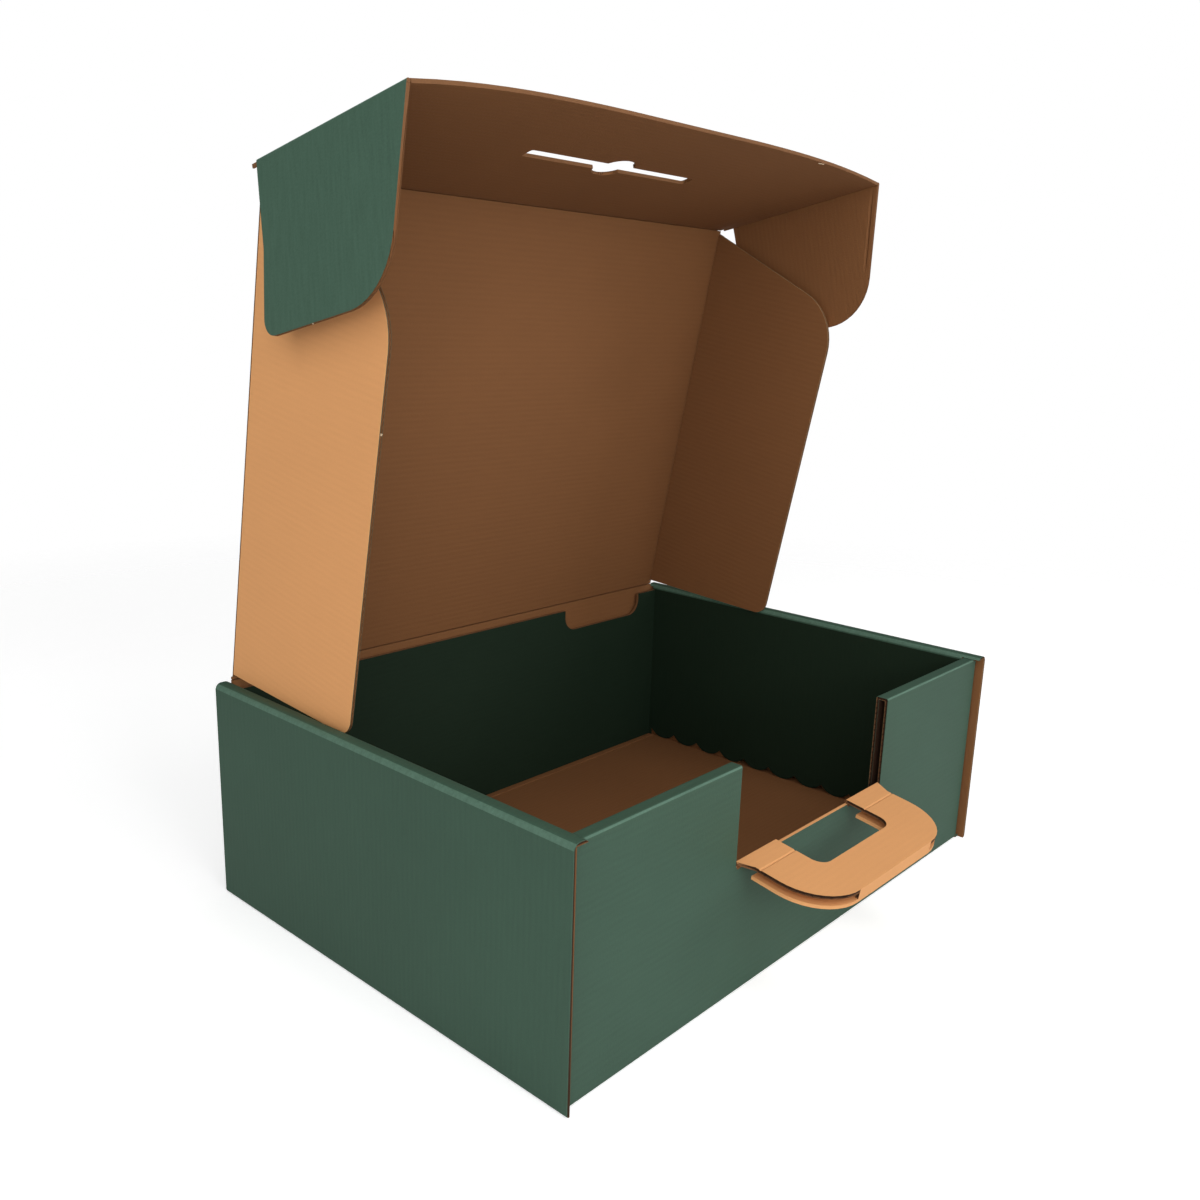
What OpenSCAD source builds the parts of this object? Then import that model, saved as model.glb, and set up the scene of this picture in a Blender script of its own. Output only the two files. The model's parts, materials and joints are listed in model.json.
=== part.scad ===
// Gift box with a loop handle: a tray of folded corrugated board with doubled walls,
// a lid on the back wall with two dust flaps, and a front flap with two locking ears.
// The origin is the centre of the tray's underside, the front faces -Y and +Z is up.

/* [Tray] */
// Outside width of the tray
box_w = 362; // [260:1:460]
// Outside depth of the tray
box_d = 258; // [190:1:340]
// Outside height of the side walls
box_h = 119.5; // [95:0.5:170]
// Thickness of the corrugated board
board = 1.8; // [1.5:0.1:2.2]
// Play between boards that lie side by side
ply_play = 0.2; // [0.15:0.05:0.4]
// Play on both sides of an ear in its pocket in a side wall
ear_play = 0.7; // [0.2:0.1:1]
// Play between the hanging dust flaps and the side walls
dust_play = 0.3; // [0.2:0.05:0.6]
// Bend radius of the rolled side wall tops
roll_r = 3.4; // [2.6:0.1:3.8]
// Step of the front wall behind the ends of the side walls
front_step = 3.8; // [3.3:0.1:7]
// Hollow between the two boards of the front wall
front_hollow = 3.4; // [2:0.1:5]
// Bend radius of the front wall's top edges
front_roll_r = 1.2; // [0.6:0.1:1.5]
// Hollow between the two boards of the back wall
back_hollow = 2.4; // [1:0.1:4]
// Drop of the back wall's inner board below the side wall tops
back_inner_drop = 4; // [3:0.5:8]
// Length of the corner flaps hidden in the side walls
corner_flap_len = 90; // [40:1:90]
// Bend radius of the tray's bottom edges
base_fold_r = 1.8; // [1:0.1:2.4]

/* [Scalloped bottom edges] */
// Pitch of the scallops along the side walls' inner boards
scallop_pitch = 21.4; // [15:0.1:30]
// Height of the scallops
scallop_h = 5; // [3:0.1:7]

/* [Notch in the back wall's inner board] */
// Distance from the centre to the notch's near end
notch_x = 76; // [20:1:80]
// Width of the notch
notch_w = 77; // [30:1:80]
// Depth of the notch
notch_depth = 14.5; // [12:0.5:24]
// Radius of the notch's bottom corners
notch_r = 10; // [4:0.5:11]

/* [Handle cut-out] */
// Width of the cut-out in the front wall
cut_w = 134; // [130:1:150]
// Height of the handle's fold line above the ground
grip_z = 68.7; // [55:0.1:75]
// Extra depth of the cut-out in the front wall's inner board
inner_cut_drop = 10; // [6:1:20]

/* [Handle] */
// Width of the handle
grip_w = 124; // [110:1:126]
// Reach of the handle from its fold line
grip_reach = 48; // [40:1:48]
// Radius of the handle's outer corners
grip_corner_r = 27; // [15:1:32]
// Length over which the legs flare to the ends of the cut-out
leg_flare = 8; // [4:0.5:10]
// Play between the flared legs and the ends of the cut-out
cut_play = 1; // [0.5:0.1:2]
// Droop of the handle below level, in degrees
grip_droop = 9; // [0:1:20]
// Width of the finger window
window_w = 66; // [50:1:76]
// Reach of the finger window from the fold line
window_reach = 26.5; // [22:0.5:28]
// Radius of the finger window's corners
window_r = 7; // [3:0.5:10]
// Hollow between the handle's two boards
grip_hollow = 3.4; // [2:0.1:4]
// Distance from the fold line to the crease across the legs
leg_crease = 10.8; // [8:0.1:14]
// Distance from the fold line to the start of the lower board
under_start = 7; // [6.5:0.1:12]
// Width and depth of a pressed crease
crease_w = 0.6; // [0.4:0.1:1]
// Steepest droop that the handle's fold leaves room for, in degrees
grip_droop_max = 45; // [40:1:50]

/* [Lid] */
// Angle of the open lid from the closing direction's back, in degrees
lid_open = 100.8; // [95:0.1:120]
// Gap at a fold between two moving boards
fold_gap = 0.3; // [0.2:0.05:0.4]

/* [Dust flaps] */
// Reach of the dust flaps from the lid
dust_reach = 101; // [60:1:104]
// Distance from the lid's fold to the foot of the dust flaps
dust_foot = 2.5; // [2:0.5:6]
// Rise of the dust flaps' lower edge over their reach
dust_rise = 12.5; // [8:0.5:20]
// Distance from the dust flaps' upper end to the front flap's fold
dust_head = 3; // [2.5:0.5:8]
// Fall of the dust flaps' upper edge over their reach
dust_fall = 31; // [20:1:40]
// Radius of the dust flaps' lower corner
dust_low_r = 9; // [4:0.5:14]
// Radius of the dust flaps' upper corner
dust_high_r = 34; // [15:1:40]

/* [Front flap] */
// Reach of the front flap from the lid
flap_reach = 114; // [95:1:118]
// Fold of the front flap from the lid's plane, in degrees
flap_fold = 67.4; // [40:0.1:88]
// Bow of the front flap's free edge
flap_bow = 7.5; // [0:0.1:12]
// Length of the handle slot
slot_len = 125; // [100:1:130]
// Sideways place of the middle of the handle slot
slot_x = -2; // [-10:0.5:10]
// Height of the handle slot
slot_h = 8; // [6:0.5:10]
// Distance from the lid's fold to the middle of the handle slot
slot_d = 60; // [50:0.5:66]
// Radius of the two finger bulges of the slot
bulge_r = 10.6; // [8:0.1:14]
// Sideways offset between the two bulges
bulge_shift = 3; // [0:0.5:6]
// Radius of the slot's corners
slot_r = 1.5; // [0.5:0.1:2.5]

/* [Ears] */
// Depth of the locking ears from the front flap's plane
ear_depth = 77; // [50:1:84]
// Distance from the lid's fold to the start of the ears
ear_start = 7; // [5:0.5:12]
// Fold of the left ear from the front flap's plane, in degrees
left_ear_fold = 84; // [70:1:89]
// Fold of the right ear from the front flap's plane, in degrees
right_ear_fold = 88; // [70:1:89]
// Setback of the ears' front corner over their depth
ear_slant = 19; // [10:1:30]
// Radius of the ears' back corner
ear_back_r = 8; // [4:0.5:12]
// Radius of the ears' front corner
ear_front_r = 32; // [15:1:36]

/* [Hidden] */
$fn = 48;

green = [0.16, 0.29, 0.24];
kraft = [0.72, 0.52, 0.35];

// Small overrun that lets a cut pass the face it opens
over = 1;
front_y = -box_d / 2;
back_y = box_d / 2;

// Boards of a side wall, from the outside: outer board, pocket for an ear, corner flap, inner board
ear_pocket = board + 2 * ear_play;
side_t = 3 * board + ear_pocket + ply_play;
inner_x = box_w / 2 - side_t;
flap_out_x = box_w / 2 - board - ear_pocket;
flap_in_x = flap_out_x - board;

// Front wall: its outer face, its thickness and its height under the side walls' rolled tops
face_y = front_y + front_step;
front_t = 2 * board + front_hollow;
front_h = box_h - board - ply_play;

// Back wall: its thickness, and the height of its inner board
back_t = 2 * board + back_hollow;
back_inner_h = box_h - back_inner_drop;
inner_len = box_d - front_step - front_t - ply_play - back_t;

// A fold turns on a rounded board edge, and its neighbour stops this far from the axis
nose_r = board / 2;
fold_stop = nose_r + fold_gap;

// Lid fold on top of the back wall, high enough for the closed lid to clear the side walls
hinge_y = back_y - board / 2;
hinge_z = box_h + board / 2 + ply_play;
lid_len = box_d - front_step + ply_play;

// Dust flaps hang just inside the side walls and turn on an axis above the lid's inner face
dust_out_x = inner_x - dust_play;
dust_axis_h = board / 2 + fold_gap / 2;
dust_fold_r = board + fold_gap / 2;
dust_axis_x = dust_out_x - dust_fold_r;

// Ears turn at the middle of their pockets
ear_x = box_w / 2 - board - ear_pocket / 2;
flap_hw = ear_x - fold_stop;
bow_strips = 28;
bow_power = 3.5;

// Handle fold line in the front wall's outer board, and the handle's two legs there
grip_y = face_y + board / 2;
grip_t = 2 * board + grip_hollow;
root_hw = cut_w / 2 - cut_play;
leg_w = root_hw - window_w / 2;
leg_mid = (root_hw + window_w / 2) / 2;

// Points of a round corner of radius r at b, between the straight runs to a and c
function unit(v) = v / norm(v);
function corner(a, b, c, r, steps = 10) =
    let (
        u = unit(a - b), v = unit(c - b),
        half = acos(u * v) / 2,
        mid = b + unit(u + v) * r / sin(half),
        from = b + u * r / tan(half) - mid,
        to = b + v * r / tan(half) - mid,
        turn = acos(unit(from) * unit(to)),
        way = sign(from[0] * to[1] - from[1] * to[0])
    )
    [for (i = [0 : steps]) mid + spin(from, way * turn * i / steps)];
function spin(p, a) = [p[0] * cos(a) - p[1] * sin(a), p[0] * sin(a) + p[1] * cos(a)];

// Outline through the points, each with its own corner radius, 0 for a sharp corner
function outline(points, radii) =
    let (n = len(points))
    [for (i = [0 : n - 1])
        for (p = radii[i] == 0
            ? [points[i]]
            : corner(points[(i + n - 1) % n], points[i], points[(i + 1) % n], radii[i])) p];

// Bow of the front flap at a place across its width, 0 at both ends and flat in the middle
function bow(x) = flap_bow * (1 - pow(min(abs(x) / flap_hw, 1), bow_power));

// Wall section with round top corners
module arch_2d(w, h, r) {
    square([w, h - r]);
    translate([r, 0]) square([w - 2 * r, h]);
    for (x = [r, w - r]) translate([x, h - r]) circle(r);
}

// Section of a wall that is rolled over at the top, with its two boards and the hollow between them
module doubled_wall_2d(w, h, r) {
    difference() {
        arch_2d(w, h, r);
        translate([board, -over]) {
            if (r > board) arch_2d(w - 2 * board, h - board + over, r - board);
            else square([w - 2 * board, h - board + over]);
        }
    }
}

// Flat shape drawn in the plane of Y and Z, raised along X from 0 to t
module along_x(t) {
    rotate([90, 0, 90]) linear_extrude(t) children();
}

// Flat shape drawn in the plane of X and Z, raised along Y from 0 to t
module along_y(t) {
    translate([0, t, 0]) rotate([90, 0, 0]) linear_extrude(t) children();
}

// Round rod along X, centred on the origin
module rod_x(r, w) {
    rotate([0, 90, 0]) cylinder(r = r, h = w, center = true);
}

// What is cut away under the scallops of a side wall's inner board
module scallop_cut() {
    count = floor(inner_len / scallop_pitch);
    scallop_r = (pow(scallop_pitch / 2, 2) + pow(scallop_h, 2)) / (2 * scallop_h);
    start = face_y + front_t + ply_play + (inner_len - count * scallop_pitch) / 2;
    translate([inner_x - over, start, board]) along_x(board + over + ply_play / 2) difference() {
        translate([0, -over]) square([count * scallop_pitch, scallop_h + over]);
        for (i = [0 : count - 1])
            translate([(i + 0.5) * scallop_pitch, scallop_r + ply_play]) circle(scallop_r);
    }
}

// Rolled side wall on the right: outer board, round top and inner board
module side_wall() {
    difference() {
        translate([inner_x, front_y, 0]) along_y(box_d) doubled_wall_2d(side_t, box_h, roll_r);
        // The inner board makes room for the front wall, the back wall and the floor
        translate([inner_x - over, front_y - over, -over])
            cube([side_t - board + over, front_step + front_t + ply_play + over, front_h + ply_play + over]);
        translate([inner_x - over, back_y - back_t + board, -over])
            cube([side_t - board + over, back_t - board + over, front_h + ply_play + over]);
        translate([inner_x - over, front_y - over, -over])
            cube([side_t - board + over, box_d + 2 * over, board + ply_play + over]);
        scallop_cut();
    }
}

// Corner flap of the front wall, and the one of the back wall, inside a side wall
module corner_flaps() {
    for (y = [face_y, back_y - corner_flap_len])
        translate([flap_in_x, y, 0]) cube([board, corner_flap_len, front_h - board]);
}

// Floor, with the side walls folded up from it
module tray_floor() {
    translate([-box_w / 2, face_y, 0]) cube([box_w, box_d - front_step, board]);
}

// Front wall before its cut-out: outer board to the side pockets, rolled top and inner board
module front_wall() {
    translate([-flap_out_x, face_y, 0]) cube([2 * flap_out_x, board, front_h - front_roll_r]);
    rolled_x = flap_in_x - ply_play;
    difference() {
        translate([-rolled_x, face_y, 0])
            along_x(2 * rolled_x) doubled_wall_2d(front_t, front_h, front_roll_r);
        translate([-rolled_x - over, face_y + board, -over])
            cube([2 * rolled_x + 2 * over, front_t, board + ply_play + over]);
    }
}

// Cut-out for the handle, deeper in the inner board, with a bevel under the handle's legs
module handle_cut() {
    translate([-cut_w / 2, face_y - over, grip_z - fold_stop])
        cube([cut_w, front_t + 2 * over, box_h]);
    translate([-cut_w / 2, face_y + board + over / 2, grip_z - fold_stop - inner_cut_drop])
        cube([cut_w, front_t, box_h]);
    for (side = [-1, 1])
        translate([side * leg_mid, grip_y, grip_z]) rotate([grip_droop_max, 0, 0])
            translate([-leg_w / 2 - fold_gap, -2 * board, -fold_stop])
            cube([leg_w + 2 * fold_gap, 2 * board, fold_stop]);
}

// Back wall: outer board under the lid's fold, and inner board with a notch
module back_wall() {
    translate([-flap_out_x, back_y - board, 0]) cube([2 * flap_out_x, board, front_h]);
    translate([-dust_out_x, back_y - board, 0]) cube([2 * dust_out_x, board, hinge_z - fold_stop]);
    inner_hw = inner_x + board;
    translate([-inner_hw, back_y - back_t, 0]) along_y(board) difference() {
        translate([0, board + ply_play]) square([2 * inner_hw, back_inner_h - board - ply_play]);
        translate([inner_hw + notch_x, back_inner_h - notch_depth]) notch_2d();
    }
}

// Notch with round bottom corners, open at the top
module notch_2d() {
    translate([0, notch_r]) square([notch_w, notch_depth - notch_r + over]);
    translate([notch_r, 0]) square([notch_w - 2 * notch_r, notch_depth]);
    for (x = [notch_r, notch_w - notch_r]) translate([x, notch_r]) circle(notch_r);
}

// What is cut away to round a bottom edge that runs along X, behind it
module edge_round(w) {
    difference() {
        translate([-w / 2, -over, -over]) cube([w, base_fold_r + over, base_fold_r + over]);
        translate([0, base_fold_r, base_fold_r]) rod_x(base_fold_r, w + 2 * over);
    }
}

module tray() {
    color(green) difference() {
        union() {
            tray_floor();
            front_wall();
            back_wall();
            for (side = [0, 1]) mirror([side, 0, 0]) {
                side_wall();
                corner_flaps();
            }
        }
        handle_cut();
        translate([0, face_y, 0]) edge_round(2 * flap_out_x);
        translate([0, back_y, 0]) mirror([0, 1, 0]) edge_round(box_w + 2 * over);
        for (side = [-1, 1])
            translate([side * box_w / 2, 0, 0]) rotate([0, 0, side * 90]) edge_round(box_d + 2 * over);
    }
}

// Places what follows in the lid's own frame: Y runs up the lid and Z points to its inside
module on_lid() {
    translate([0, hinge_y, hinge_z]) rotate([lid_open, 0, 0]) children();
}

// Places what follows in the front flap's own frame
module on_front_flap() {
    on_lid() translate([0, lid_len, 0]) rotate([flap_fold, 0, 0]) children();
}

// Round fold along one side of the lid, around the axis of a dust flap
module dust_fold() {
    translate([dust_axis_x, fold_stop, 0]) along_y(lid_len - 2 * fold_stop) intersection() {
        translate([0, dust_axis_h]) circle(dust_fold_r);
        translate([0, -board]) square([dust_fold_r, board + dust_axis_h - fold_gap]);
    }
}

module lid_panel() {
    plate_x = dust_axis_x;
    color(green) on_lid() {
        rod_x(nose_r, 2 * dust_out_x);
        difference() {
            translate([-plate_x, 0, -board / 2]) cube([2 * plate_x, lid_len, board]);
            translate([0, lid_len, 0]) rod_x(fold_stop, 2 * box_w);
            translate([-box_w, lid_len - fold_stop, 0]) cube([2 * box_w, board * 2, board * 2]);
            // Rebate along both sides under the dust flaps' feet
            for (side = [-1, 1]) translate([side * dust_axis_x, lid_len / 2, dust_axis_h])
                cube([fold_gap, lid_len + 2 * over, 2 * fold_gap], center = true);
        }
        for (side = [0, 1]) mirror([side, 0, 0]) dust_fold();
    }
}

// Dust flap on the right, hanging square to the lid
module dust_flap() {
    head = lid_len - dust_head;
    edge = outline(
        [[dust_foot, 0], [dust_foot + dust_rise, dust_reach], [head - dust_fall, dust_reach], [head, 0]],
        [0, dust_low_r, dust_high_r, 0]
    );
    translate([dust_out_x - board, 0, dust_axis_h]) along_x(board) polygon(edge);
}

module left_dust_flap() {
    color(kraft) on_lid() mirror([1, 0, 0]) dust_flap();
}

module right_dust_flap() {
    color(kraft) on_lid() dust_flap();
}

// Board with a straight edge at the lid's fold and a bowed free edge
module bowed_board() {
    xs = [for (i = [0 : bow_strips]) flap_hw * (2 * i / bow_strips - 1)];
    n = len(xs);
    points = [
        for (z = [board / 2, -board / 2])
            for (y = [0, flap_reach])
                for (x = xs) [x, y, z - bow(x) * y / flap_reach]
    ];
    // Corners of strip i on each of the four long edges
    upper = [for (i = [0 : n - 2]) each [[i, n + i, n + i + 1], [i, n + i + 1, i + 1]]];
    lower = [for (i = [0 : n - 2])
        each [[2 * n + i, 3 * n + i + 1, 3 * n + i], [2 * n + i, 2 * n + i + 1, 3 * n + i + 1]]];
    near_edge = [for (i = [0 : n - 2]) [i, i + 1, 2 * n + i + 1, 2 * n + i]];
    far_edge = [for (i = [0 : n - 2]) each
        [[n + i, 3 * n + i, 3 * n + i + 1], [n + i, 3 * n + i + 1, n + i + 1]]];
    ends = [[0, 2 * n, 3 * n, n], [n - 1, 2 * n - 1, 4 * n - 1, 3 * n - 1]];
    polyhedron(points = points, faces = concat(upper, lower, near_edge, far_edge, ends));
}

// Handle slot: a long slit with two half round finger bulges on opposite sides
module slot_2d() {
    hl = slot_len / 2;
    hh = slot_h / 2;
    polygon(outline([[-hl, -hh], [hl, -hh], [hl, hh], [-hl, hh]], [slot_r, slot_r, slot_r, slot_r]));
    for (side = [-1, 1]) intersection() {
        translate([side * bulge_shift / 2, 0]) circle(bulge_r);
        translate([-hl, side > 0 ? 0 : -2 * bulge_r]) square([slot_len, 2 * bulge_r]);
    }
}

// Lip of the front flap that reaches round the fold of an ear
module ear_lip() {
    difference() {
        translate([flap_hw - over, ear_start, -board / 2]) cube([fold_stop + over, flap_reach - ear_start, board / 2]);
        translate([ear_x, 0, 0]) rotate([-90, 0, 0]) cylinder(r = fold_stop, h = flap_reach + over);
    }
}

module front_flap() {
    color(green) on_front_flap() {
        rod_x(nose_r, 2 * dust_out_x);
        difference() {
            bowed_board();
            translate([slot_x, slot_d, -flap_bow - board]) linear_extrude(flap_bow + 3 * board) slot_2d();
            for (side = [-1, 1])
                translate([side * (dust_out_x + board), ear_start / 2 - over, 0])
                cube([2 * board, ear_start + 2 * over, 2 * board], center = true);
        }
        for (side = [0, 1]) mirror([side, 0, 0]) ear_lip();
    }
}

// Locking ear on the right, with its fold along the front flap's end
module ear(fold) {
    edge = outline(
        [
            [0, ear_start], [ear_depth / 2, ear_start + board], [ear_depth, ear_start - board],
            [ear_depth, flap_reach - ear_slant], [0, flap_reach]
        ],
        [0, 0, ear_back_r, ear_front_r, 0]
    );
    translate([ear_x, 0, 0]) rotate([0, -fold, 0]) {
        translate([0, 0, -board / 2]) linear_extrude(board) polygon(edge);
        translate([0, ear_start, 0]) rotate([-90, 0, 0]) cylinder(r = nose_r, h = flap_reach - ear_start);
    }
}

module left_ear() {
    color(green) on_front_flap() mirror([1, 0, 0]) ear(left_ear_fold);
}

module right_ear() {
    color(green) on_front_flap() ear(right_ear_fold);
}

// One board of the handle, pointing forward, from the distance start on
module grip_2d(start) {
    hw = grip_w / 2;
    r = grip_corner_r;
    difference() {
        union() {
            polygon(outline([[-hw, -start], [-hw, -grip_reach], [hw, -grip_reach], [hw, -start]], [0, r, r, 0]));
            if (start == 0) polygon([[-root_hw, 0], [-hw, -leg_flare], [hw, -leg_flare], [root_hw, 0]]);
        }
        polygon(outline(
            [
                [-window_w / 2, over], [-window_w / 2, -window_reach],
                [window_w / 2, -window_reach], [window_w / 2, over]
            ],
            [0, window_r, window_r, 0]
        ));
    }
}

module carry_handle() {
    spine_hw = grip_w / 2 - grip_corner_r;
    color(kraft) translate([0, grip_y, grip_z]) rotate([grip_droop, 0, 0]) {
        for (side = [-1, 1])
            translate([side * leg_mid, 0, 0]) rod_x(nose_r, leg_w);
        difference() {
            translate([0, 0, -board / 2]) linear_extrude(board) grip_2d(0);
            translate([-grip_w, -leg_crease, board / 2]) rotate([45, 0, 0])
                cube([2 * grip_w, crease_w / 2, crease_w / 2]);
        }
        translate([0, 0, board / 2 - grip_t]) linear_extrude(board) grip_2d(under_start);
        translate([-spine_hw, -grip_reach, board / 2 - grip_t])
            cube([2 * spine_hw, board, grip_t]);
    }
}

tray();
lid_panel();
left_dust_flap();
right_dust_flap();
front_flap();
left_ear();
right_ear();
carry_handle();
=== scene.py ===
"""Visual model of a corrugated gift box with a loop handle, laid out as a Blender add-on."""
import json
import math

import bmesh
import bpy
from mathutils import Matrix, Vector


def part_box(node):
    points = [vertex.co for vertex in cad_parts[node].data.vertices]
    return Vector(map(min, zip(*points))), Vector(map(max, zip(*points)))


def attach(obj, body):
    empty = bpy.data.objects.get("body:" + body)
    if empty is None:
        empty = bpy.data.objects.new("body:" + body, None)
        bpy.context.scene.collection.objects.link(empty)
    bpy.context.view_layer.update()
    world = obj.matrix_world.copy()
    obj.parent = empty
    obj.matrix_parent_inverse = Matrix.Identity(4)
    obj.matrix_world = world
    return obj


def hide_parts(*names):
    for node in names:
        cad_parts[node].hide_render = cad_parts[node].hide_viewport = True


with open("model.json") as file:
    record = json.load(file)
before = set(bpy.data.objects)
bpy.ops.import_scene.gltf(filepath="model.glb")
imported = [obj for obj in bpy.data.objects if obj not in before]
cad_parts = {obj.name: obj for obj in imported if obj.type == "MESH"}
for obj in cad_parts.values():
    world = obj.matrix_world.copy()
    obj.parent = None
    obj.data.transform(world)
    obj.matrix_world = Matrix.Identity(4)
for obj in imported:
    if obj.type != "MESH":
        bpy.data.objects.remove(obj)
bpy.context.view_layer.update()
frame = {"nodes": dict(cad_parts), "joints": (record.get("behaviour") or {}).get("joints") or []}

bl_info = {
    "name": "Handled gift box",
    "version": (1, 0, 0),
    "blender": (4, 5, 0),
    "location": "3D View > Sidebar > Gift box",
    "description": "Folded corrugated gift box with a loop handle, on the frame of its solid model",
    "category": "Add Mesh",
}

# Tolerances, in m, as angles, and as shares of a unit normal
TOL = 0.00015  # two planes count as one below this distance
WELD = 0.00001
COPLANAR = math.radians(0.4)
SMOOTH = math.radians(35)
FLAT = 0.9  # a face normal counts as along an axis above this share
LEVEL = 0.1  # and as square to it below this one
TOWARDS = 0.3  # a face looks towards a direction above this share
PANEL_SIDE = 0.35  # a face belongs to a panel's side above this share
ROLL_LOW = -0.05  # least height of the normals on the printed outside of a roll
ROUND_TOP = 0.02  # least height of the normals on the front wall's round top
RUNG = 0.98  # an edge counts as running through the board above this share
RUNG_PLAY = 0.2  # and its length may differ from the board's by this share

# Sides of the sheet and the papers that a face can show; inside is the print darkened with painted shade, for
# the walls inside the tray
KINDS = ("print", "inner", "kraft", "cut", "core", "inside", "torn")
PRINT, INNER, KRAFT, CUT, SHADED_CORE, SHADED_PRINT, TORN = range(len(KINDS))

# Places on the tray, as shares
NEAR_MIDDLE = 0.9  # the cut-out is nearer to the middle than this share of the tray's inside
BELOW_TOP = 0.6  # the cut-out's sill is lower than this share of the wall

# Lightened print: how far it is lightened, and the slant and height of the fold facets that take it. On the
# folds it is partly scuffed print and partly a painted highlight on the facets that face up, on the ears it
# is painted light, and on the crushed rims it is scuffed print
FOLD_WEAR_AND_HIGHLIGHT, EAR_PAINTED_LIGHT, RIM_WEAR = 0.8, 0.3, 0.35
FOLD_LOW, FOLD_HIGH, FOLD_FROM = 0.2, 0.85, 0.1

# Outline of a torn flake, as shares of its size, with its lift
FLAKE = (
    (-0.6, -0.5, 0),
    (-0.35, 0.15, 0.1),
    (-0.05, 0.05, 0.2),
    (0.2, 0.3, 0.25),
    (0.55, 0, 0.1),
    (0.6, -0.5, 0),
)
# Flakes of each panel: place in its frame in m, direction in degrees, size in m
FLAKES = {
    "front_flap": ((0.1147, 0.1138, -0.0048, 90, 0.003),),
    "left_ear": ((0.0652, 0.0257, 0, 20, 0.0012), (0.0769, -0.018, 0, 0, 0.0011)),
    "left_dust_flap": ((0.101, -0.0408, -0.001, 0, 0.0011),),
}

# Pressed creases, in m: place, width and depth
FLOOR_CREASE, FLOOR_CREASE_WIDTH, FLOOR_CREASE_DEPTH = 0.0045, 0.0012, 0.0005  # in front of the back wall
LEG_CREASE, LEG_CREASE_WIDTH, LEG_CREASE_DEPTH = -0.0108, 0.0016, 0.0004  # from the handle's fold
CRUMPLES = (((0.002, 0.05), (0.05, 0.0385)), ((0.014, 0.053), (0.056, 0.04)))  # of the pinched ear
CRUMPLE_WIDTH, CRUMPLE_DEPTH, CRUMPLE_FADE = 0.0022, 0.0008, 0.2
HANDLE_SPLIT = -0.003  # m, height between the handle's two boards in its own frame

# Paper: noise scales per m, shares of the tint, and height of the relief in m
CLOUD_SCALE, GRAIN_SCALE, FIBRE_SCALE, PATCH_SCALE = 9, 900, 520, 25
FIBRE_STRETCH = 0.12
CLOUD_SHARE, GRAIN_SHARE = 0.5, 0.25
RELIEF = 0.0002
FLUTE_RELIEF = 4  # the flute lines' height over their tint
FLUTE_PITCH = 0.0032  # m
FLUTE_STEPS = 10  # steps that draw one flute of the core

# Finish of each kind: colour, lighter colour for scuffed print and for painted highlight and painted light,
# spread of the tint, roughness, strength of the flute lines, strength of the relief, and shine
FINISHES = (
    ("print", "printed", "worn", 0.3, 0.62, 0.06, 0.25, 0.25),
    ("inner", "inner", "kraft", 0.16, 0.85, 0.12, 0.35, 0.25),
    ("kraft", "kraft", "kraft", 0.1, 0.8, 0.08, 0.3, 0.25),
    ("cut", "cut", "cut", 0.2, 0.9, 0.0, 0.5, 0.25),
    ("core", "core", "core", 0.2, 0.9, 0.0, 0.3, 0.25),
    ("torn", "torn", "torn", 0.1, 0.9, 0.0, 0.3, 0.25),
    # The print on the walls inside the tray, darkened: painted shade
    ("inside", "inside", "worn", 0.22, 0.7, 0.06, 0.25, 0.1),
)
# Sockets of a node that mixes two colours
FIRST_COLOUR, SECOND_COLOUR, MIXED_COLOUR = 6, 7, 2

# Stage, in m: floor, then each light's name, place, size, and its share of a stage value
FLOOR_HALF = 12
FLOOR_ROUGHNESS = 0.9
AIM = (0, 0, 0.15)
LIGHTS = (
    ("left_low", (-2.2, -0.3, 0.45), 1.2, 0.46, "left"),
    ("left_high", (-1.8, -0.2, 1.6), 1.4, 0.54, "left"),
    ("key_low", (-1.7, -1.5, 0.45), 1.2, 0.46, "key"),
    ("key_high", (-1.4, -1.4, 1.7), 1.4, 0.54, "key"),
    ("front_low", (0.2, -2.2, 0.45), 1.2, 0.5, "front"),
    ("front_high", (0.2, -1.8, 1.6), 1.4, 0.5, "front"),
    ("top_front", (0, -0.7, 2.3), 1.4, 0.56, "top"),
    ("top_back", (-0.1, 0.2, 2.4), 1.4, 0.44, "top"),
    ("right", (1.7, -1.4, 1.0), 1.4, 1, "right"),
    ("near", (-0.9, -0.75, 0.6), 0.6, 1, "near"),
    ("spot", (-0.6, -1.9, 0.9), 0.5, 1, "spot"),
)
# Camera: place in m, heading from the Y axis, dip and roll in degrees, sensor in mm
CAMERA_PLACE = (-0.46284, -0.38984, 0.30933)
CAMERA_HEADING, CAMERA_DIP, CAMERA_ROLL = 48.211, 13.985, 1.825
SENSOR = 36


def metres(label, text, value):
    """Property for a length."""
    return bpy.props.FloatProperty(name=label, description=text, default=value, unit="LENGTH")


def watts(label, text, value):
    """Property for a light's power."""
    return bpy.props.FloatProperty(name=label, description=text, default=value, unit="POWER")


def amount(label, text, value):
    """Property for a plain number."""
    return bpy.props.FloatProperty(name=label, description=text, default=value)


def colour(label, text, red, green, blue):
    """Property for an opaque colour."""
    return bpy.props.FloatVectorProperty(
        name=label, description=text, subtype="COLOR", size=4, min=0, max=1, default=(red, green, blue, 1)
    )


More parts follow.
